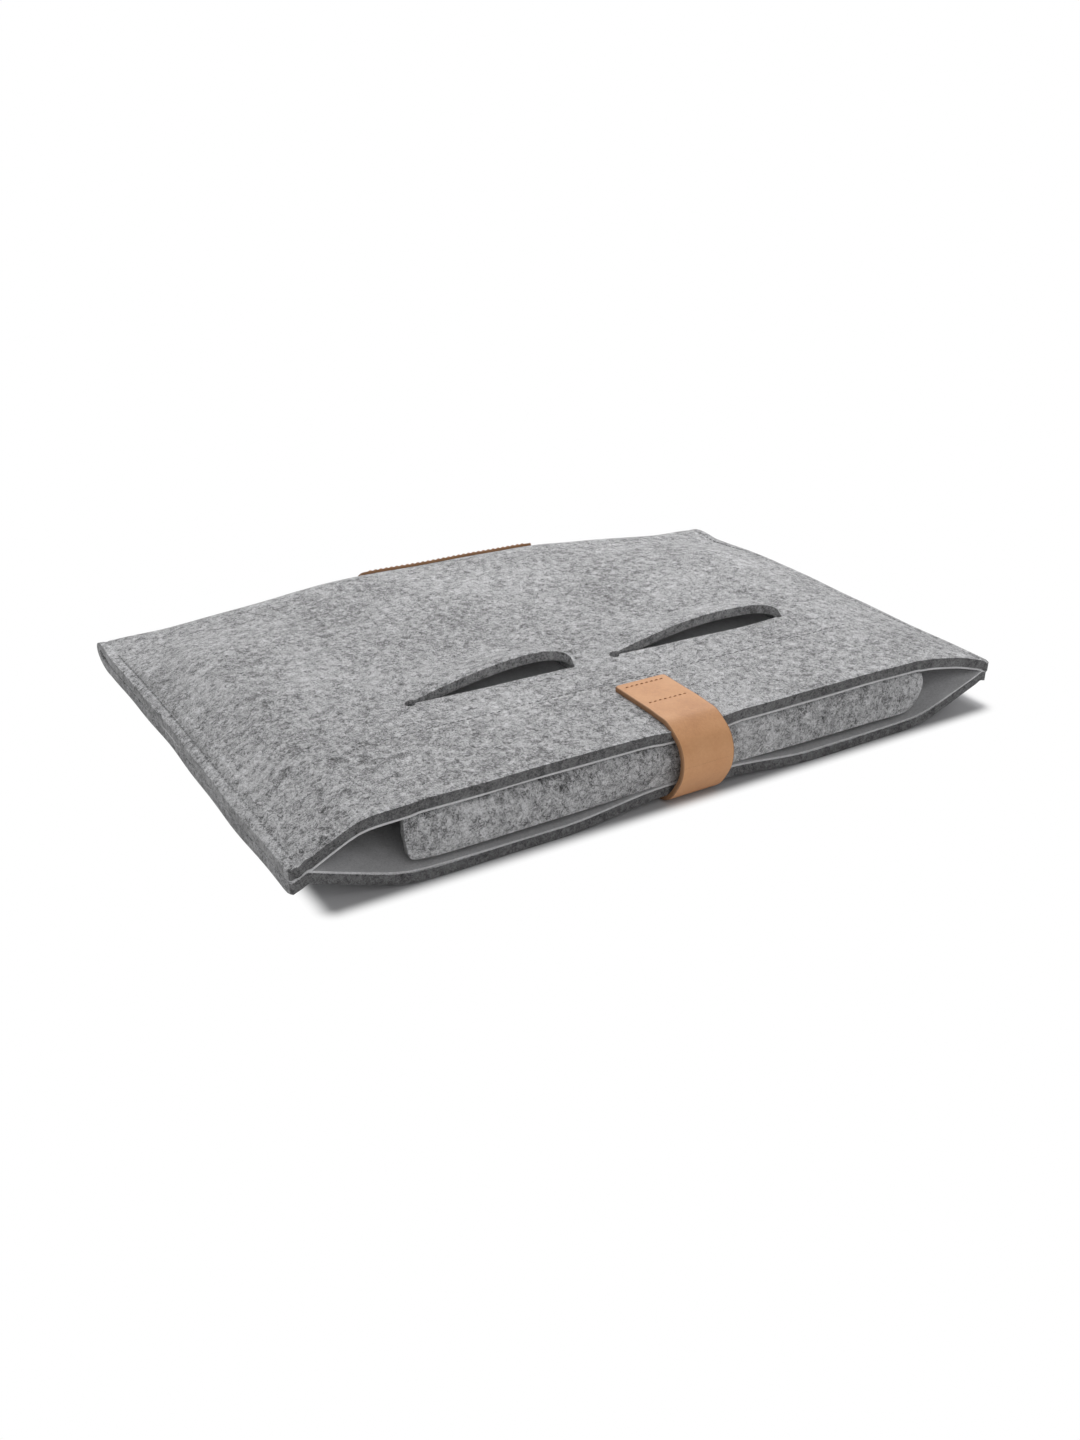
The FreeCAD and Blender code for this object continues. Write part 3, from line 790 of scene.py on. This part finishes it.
def make_strap():
    """The strap in two lengths that meet at a set height in front of the mouth, each bending round
    one front edge; both ends are rounded in plan.
    """
    line, run = strap_line()
    left = run[-1] - run
    tail = tail_corner - np.sqrt(tail_corner ** 2 - np.clip(tail_corner - left, 0, None) ** 2)
    head = head_corner - np.sqrt(head_corner ** 2 - np.clip(head_corner - run, 0, None) ** 2)
    half = strap_half - tail - head
    joint = int(np.argmin(np.abs(line[:, 1] - strap_split_z) + 100 * (line[:, 0] > mouth_y)))
    upper = make_band("strap_upper", line[:joint + 1], half[:joint + 1])
    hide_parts("strap_sewn_end", "strap_wrap")
    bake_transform(upper)
    lower = make_band("strap_lower", line[joint:], half[joint:])
    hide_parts("strap_tail")
    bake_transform(lower)


make_strap()


# ---- Threads ------------------------------------------------------------------------------------

def make_stitches(name, starts, along, out, length, radius, arch, body):
    """Many stitches in one mesh: each is a six-sided bead that arches out of the cloth and sinks
    back at both ends. Position = start + along * way + out * rise + ring of the bead's radius."""
    starts = np.asarray(starts, float).reshape(-1, 1, 1, 3)
    along = np.broadcast_to(np.asarray(along, float), (len(starts), 3)).reshape(-1, 1, 1, 3)
    out = np.broadcast_to(np.asarray(out, float), (len(starts), 3)).reshape(-1, 1, 1, 3)
    side = np.cross(along, out)
    way = np.linspace(0, 1, 7)[None, :, None, None]
    turn = np.radians(np.arange(0, 360, 60))[None, None, :, None]
    swell = radius * (0.35 + 0.65 * np.sin(np.pi * way) ** 0.5)
    points = (starts + along * way * length + out * arch * (np.sin(np.pi * way) - 0.45)
              + side * swell * np.cos(turn) + out * swell * np.sin(turn))
    index = np.arange(len(starts) * 42).reshape(-1, 7, 6)
    ring = np.concatenate([index, index[:, :, :1]], 2)
    corners = [ring[:, :-1, :-1], ring[:, :-1, 1:], ring[:, 1:, 1:], ring[:, 1:, :-1]]
    faces = np.stack(corners, -1).reshape(-1, 4)
    caps = [cap for one in index.tolist() for cap in (one[0][::-1], one[-1])]
    return new_mesh(name, points, faces, body, 60.0, caps=caps)


seam_pitch = 3.6


def places_along(low, high, pitch):
    """Where each stitch of a row starts."""
    return np.arange(low, high - pitch * 0.6, pitch)


def finish_thread(piece, material, slot, *nodes):
    """Thread's material and the CAD nodes it is shown for; the slot argument is not used."""
    paint(piece, material)
    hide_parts(*nodes)


def make_side_stitches(side, sign):
    """Side seam, seen on the top and on the bottom of the rim."""
    y = places_along(mouth_y + 6.0, fold_start_y + 2.0, seam_pitch)
    x = np.full_like(y, sign * side_seam_x)
    over = np.stack([x, y, top_face(x, y) + 0.16], -1)
    under = np.stack([x, y + 1.8, bottom_face(x, y) - 0.16], -1)
    out = np.concatenate([np.tile([0, 0, 1.0], (len(y), 1)), np.tile([0, 0, -1.0], (len(y), 1))])
    threads = make_stitches(side + "_seam_thread", np.concatenate([over, under]), (0, 1, 0), out,
                            2.7, 0.33, 0.35, "sleeve")
    finish_thread(threads, grey_thread, "grey_thread", side + "_side_stitching")


def make_flap_stitches():
    """The flap's seam, on the top felt and under the flap."""
    x = places_along(-flap_seam_half, flap_seam_half, seam_pitch)
    y = np.full_like(x, flap_seam_y)
    face = top_face(x, y)
    over = np.stack([x, y, face + 0.10], -1)
    under = np.stack([x, y, face - felt - lining - 3.7], -1)
    out = np.concatenate([np.tile([0, 0, 1.0], (len(x), 1)), np.tile([0, 0, -1.0], (len(x), 1))])
    threads = make_stitches("flap_seam_thread", np.concatenate([over, under]), (1, 0, 0), out,
                            2.6, 0.28, 0.25, "sleeve")
    finish_thread(threads, grey_thread, "grey_thread", "tuck_flap_stitching")


def make_pocket_stitches(side):
    """Seam round three sides of a bag's rim, on its underside."""
    low, high = bag_boxes[side]
    inset = 2.5
    ys = places_along(low[1] + inset, high[1] - inset, seam_pitch)
    xs = places_along(low[0] + inset, high[0] - inset, seam_pitch)
    left = np.stack([np.full_like(ys, low[0] + inset), ys], -1)
    right = np.stack([np.full_like(ys, high[0] - inset), ys], -1)
    back = np.stack([xs, np.full_like(xs, high[1] - inset)], -1)
    plan = np.concatenate([left, right, back])
    z = top_face(plan[:, 0], plan[:, 1]) - felt - touch_gap - bag_cloth
    along = np.concatenate([np.tile([0, 1.0, 0], (2 * len(ys), 1)),
                            np.tile([1.0, 0, 0], (len(xs), 1))])
    threads = make_stitches(side + "_pocket_thread", np.column_stack([plan, z]), along, (0, 0, -1),
                            2.7, 0.28, 0.2, "sleeve")
    finish_thread(threads, grey_thread, "grey_thread", side + "_pocket_stitching")


def make_strap_stitches():
    """Two rows across the strap's sewn end."""
    inset, spacing = 3.5, 17.0
    x = places_along(-strap_half + 3.2, strap_half - 2.6, 2.5)
    rows = []
    for y in (strap_end_y - inset, strap_end_y - inset - spacing):
        z = float(top_face(np.array(0.0), np.array(y))) + leather + strap_clear
        rows.append(np.stack([x, np.full_like(x, y), np.full_like(x, z + 0.02)], -1))
    threads = make_stitches("strap_thread", np.concatenate(rows), (1, 0, 0), (0, 0, 1),
                            1.7, 0.26, 0.2, "sleeve")
    finish_thread(threads, tan_thread, "tan_thread", "strap_stitching")


make_side_stitches("left", -1)
make_side_stitches("right", 1)
make_flap_stitches()
make_pocket_stitches("left")
make_pocket_stitches("right")
make_strap_stitches()


# ---- Leather strip on the folded edge -----------------------------------------------------------

trim_half = 0.5 * (trim_high[0] - trim_low[0])
trim_middle = 0.5 * (trim_high[0] + trim_low[0])
trim_angles = (27.0, 153.0)    # round the fold, from the top
strip_over, strip_under = 1.45, 0.06    # its outer and inner face above the felt


def make_trim():
    """A strip wrapped round the fold, its corners pulled in a little, with a row of stitches near
    each edge."""
    angle = np.radians(np.linspace(*trim_angles, 64))[:, None]
    edge = np.minimum(angle - angle[0], angle[-1] - angle)
    pull = 1.4 * np.exp(-(edge / 0.05) ** 2)
    columns = stations(-1.0, 1.0, 0.03, 0.006, [-1.0, 1.0], 0.05)
    x = trim_middle + columns[None, :] * (trim_half - pull)
    outer = fold_points(x, angle, strip_over)
    inner = fold_points(x, angle, strip_under)
    index = np.arange(x.size).reshape(x.shape)
    strip = thick_mesh("back_strip", outer, inner, quads(index), "sleeve")
    soften(strip, 0.4, 3)
    paint(strip, strip_leather, edge_leather)
    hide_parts("back_edge_trim")

    xs = trim_middle + places_along(-trim_half + 3.5, trim_half - 3.5, 3.0)
    starts = []
    outs = []
    for degrees in (trim_angles[0] + 5.0, trim_angles[1] - 5.0):
        turn = np.full((1, 1), math.radians(degrees))
        on = fold_points(xs[None, :], turn, strip_over)[0]
        deeper = fold_points(xs[None, :], turn, 0.0)[0]
        out = on - deeper
        outs.append(out / np.linalg.norm(out, axis=1)[:, None])
        starts.append(on + outs[-1] * 0.1)
    threads = make_stitches("strip_thread", np.concatenate(starts), (1, 0, 0), np.concatenate(outs),
                            2.1, 0.28, 0.22, "sleeve")
    finish_thread(threads, tan_thread, "tan_thread", "trim_stitching")


make_trim()


# ---- Closure patches ----------------------------------------------------------------------------

def make_patch(name, node, body, material, facing):
    """A thin tape with its corners pulled in; even lumps, a product of two sine waves, stand on the
    side that faces its partner."""
    low, high = node_box(node)
    centre = (low + high) / 2
    half = (high - low) / 2
    u, v = np.meshgrid(np.linspace(-1, 1, 49), np.linspace(-1, 1, 73))
    corner = 1 - 0.06 * (u ** 8) * (v ** 8)
    x = centre[0] + half[0] * u * corner
    y = centre[1] + half[1] * v * corner
    lumps = 0.1 * np.sin(x * 5.1) * np.sin(y * 4.7) * (1 - u ** 12) * (1 - v ** 12)
    upper = np.stack([x, y, high[2] - (0.12 - lumps if facing > 0 else 0.0) + 0 * x], -1)
    lower = np.stack([x, y, low[2] + (0.12 - lumps if facing < 0 else 0.0) + 0 * x], -1)
    index = np.arange(x.size).reshape(x.shape)
    tape = thick_mesh(name, upper, lower, quads(index), body)
    paint(tape, material, material)
    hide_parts(node)


make_patch("hook_tape", "hook_patch", "strap_tail", hook_cloth, 1)
make_patch("loop_tape", "loop_patch", "sleeve", loop_cloth, -1)


# ---- Stage, light and camera --------------------------------------------------------------------

def make_stage():
    """A white floor. Under and beside the sleeve it takes the shadow, and there its colour is a
    painted shadow of half grey; further away, where only the camera sees it, it fades to an even
    white. From below it is clear."""
    reach, level = 30.0, -0.0002
    corners = [(-reach, -reach, level), (reach, -reach, level), (reach, reach, level),
               (-reach, reach, level)]
    mesh = bpy.data.meshes.new("floor")
    mesh.from_pydata(corners, [], [(0, 1, 2, 3)])
    floor = bpy.data.objects.new("floor", mesh)
    bpy.context.scene.collection.objects.link(floor)
    f = Finish("studio_floor")
    f.connect(f.shader.inputs["Roughness"], 1.0)
    f.connect(f.shader.inputs["Specular IOR Level"], 0.0)
    away = f.place
    # painted shadow: a box of 330 x 224 mm round the sleeve, shifted 7 mm right and 5 mm forward,
    # where the floor is painted darker
    for operation, other in (("SUBTRACT", (0.007, -0.005, 0.0)), ("ABSOLUTE", (0.0, 0.0, 0.0)),
                             ("SUBTRACT", (0.165, 0.112, 1.0)), ("MAXIMUM", (0.0, 0.0, 0.0))):
        away = f.node("ShaderNodeVectorMath", {0: away, 1: other}, operation=operation).outputs[0]
    distance = f.node("ShaderNodeVectorMath", {0: away}, operation="LENGTH").outputs["Value"]
    far = f.node("ShaderNodeMapRange", {"Value": distance, "From Min": 0.001, "From Max": 0.010},
                 interpolation_type="SMOOTHSTEP").outputs[0]
    # painted shadow: half grey inside the box, white from 10 mm beyond it
    painted_floor_shadow = f.colours(far, (0.0, grey(0.5)), (1.0, grey(1.0, 1.0)))
    f.connect(f.shader.inputs["Base Color"], painted_floor_shadow)
    rays = f.node("ShaderNodeLightPath")
    seen = rays.outputs["Is Camera Ray"]
    for other in ("Is Glossy Ray", "Is Transmission Ray"):
        seen = f.math("MAXIMUM", seen, rays.outputs[other])
    glow = f.node("ShaderNodeEmission", {"Color": (1.0, 1.0, 1.0, 1.0), "Strength": 1.0})
    both = f.node("ShaderNodeMixShader", {0: f.math("MULTIPLY", far, seen), 1: f.shader.outputs[0],
                                          2: glow.outputs[0]})
    below = f.node("ShaderNodeNewGeometry").outputs["Backfacing"]
    clear = f.node("ShaderNodeBsdfTransparent")
    either = f.node("ShaderNodeMixShader", {0: below, 1: both.outputs[0], 2: clear.outputs[0]})
    f.connect(f.tree.nodes["Material Output"].inputs["Surface"], either.outputs[0])
    mesh.materials.append(f.material)


def make_light(name, place, size, power):
    """A square soft lamp aimed at the middle of the sleeve."""
    data = bpy.data.lights.new(name, "AREA")
    data.size = size
    data.energy = power
    lamp = bpy.data.objects.new(name, data)
    bpy.context.scene.collection.objects.link(lamp)
    lamp.location = place
    lamp.rotation_euler = (-Vector(place)).to_track_quat("-Z", "Y").to_euler()


def make_camera():
    """A camera in front of the sleeve's left, looking down at 27 degrees and turned by 2."""
    azimuth, elevation, roll = (math.radians(a) for a in (34.5, 26.9, 2.0))
    forward = Vector((math.sin(azimuth) * math.cos(elevation),
                      math.cos(azimuth) * math.cos(elevation), -math.sin(elevation)))
    level = Vector((math.cos(azimuth), -math.sin(azimuth), 0.0))
    up = level.cross(forward)
    right = math.cos(roll) * level + math.sin(roll) * up
    top = -math.sin(roll) * level + math.cos(roll) * up
    data = bpy.data.cameras.new("camera")
    data.sensor_width = 36.0
    data.lens = 34.25
    data.shift_x = -0.0456
    data.shift_y = 0.0085
    camera = bpy.data.objects.new("camera", data)
    bpy.context.scene.collection.objects.link(camera)
    target = Vector((-0.0094, -0.0675, 0.010))
    turn = Matrix((right, top, -forward)).transposed().to_4x4()
    camera.matrix_world = Matrix.Translation(target - 0.597 * forward) @ turn
    bpy.context.scene.camera = camera


def make_world():
    """A dim even light that the camera sees as white."""
    world = bpy.data.worlds.new("studio")
    world.use_nodes = True
    tree = world.node_tree
    ambient = tree.nodes["Background"]
    ambient.inputs["Color"].default_value = (1, 1, 1, 1)
    ambient.inputs["Strength"].default_value = 0.22
    seen = tree.nodes.new("ShaderNodeBackground")
    seen.inputs["Color"].default_value = (1, 1, 1, 1)
    seen.inputs["Strength"].default_value = 1.0
    rays = tree.nodes.new("ShaderNodeLightPath")
    share = rays.outputs["Is Camera Ray"]
    for other in ("Is Glossy Ray", "Is Transmission Ray"):
        either = tree.nodes.new("ShaderNodeMath")
        either.operation = "MAXIMUM"
        tree.links.new(share, either.inputs[0])
        tree.links.new(rays.outputs[other], either.inputs[1])
        share = either.outputs[0]
    blend = tree.nodes.new("ShaderNodeMixShader")
    tree.links.new(share, blend.inputs[0])
    tree.links.new(ambient.outputs[0], blend.inputs[1])
    tree.links.new(seen.outputs[0], blend.inputs[2])
    tree.links.new(blend.outputs[0], tree.nodes["World Output"].inputs["Surface"])
    bpy.context.scene.world = world


make_stage()
make_light("key", (0.38, 0.58, 0.92), 0.6, 9.6)
make_light("right_side", (1.10, 0.45, 0.55), 0.7, 3.4)
make_light("left_side", (-1.00, 0.05, 0.45), 0.6, 1.4)
make_light("front", (-0.30, -0.95, 0.70), 0.7, 3.7)
make_camera()
make_world()
bpy.context.scene.view_settings.view_transform = "Standard"
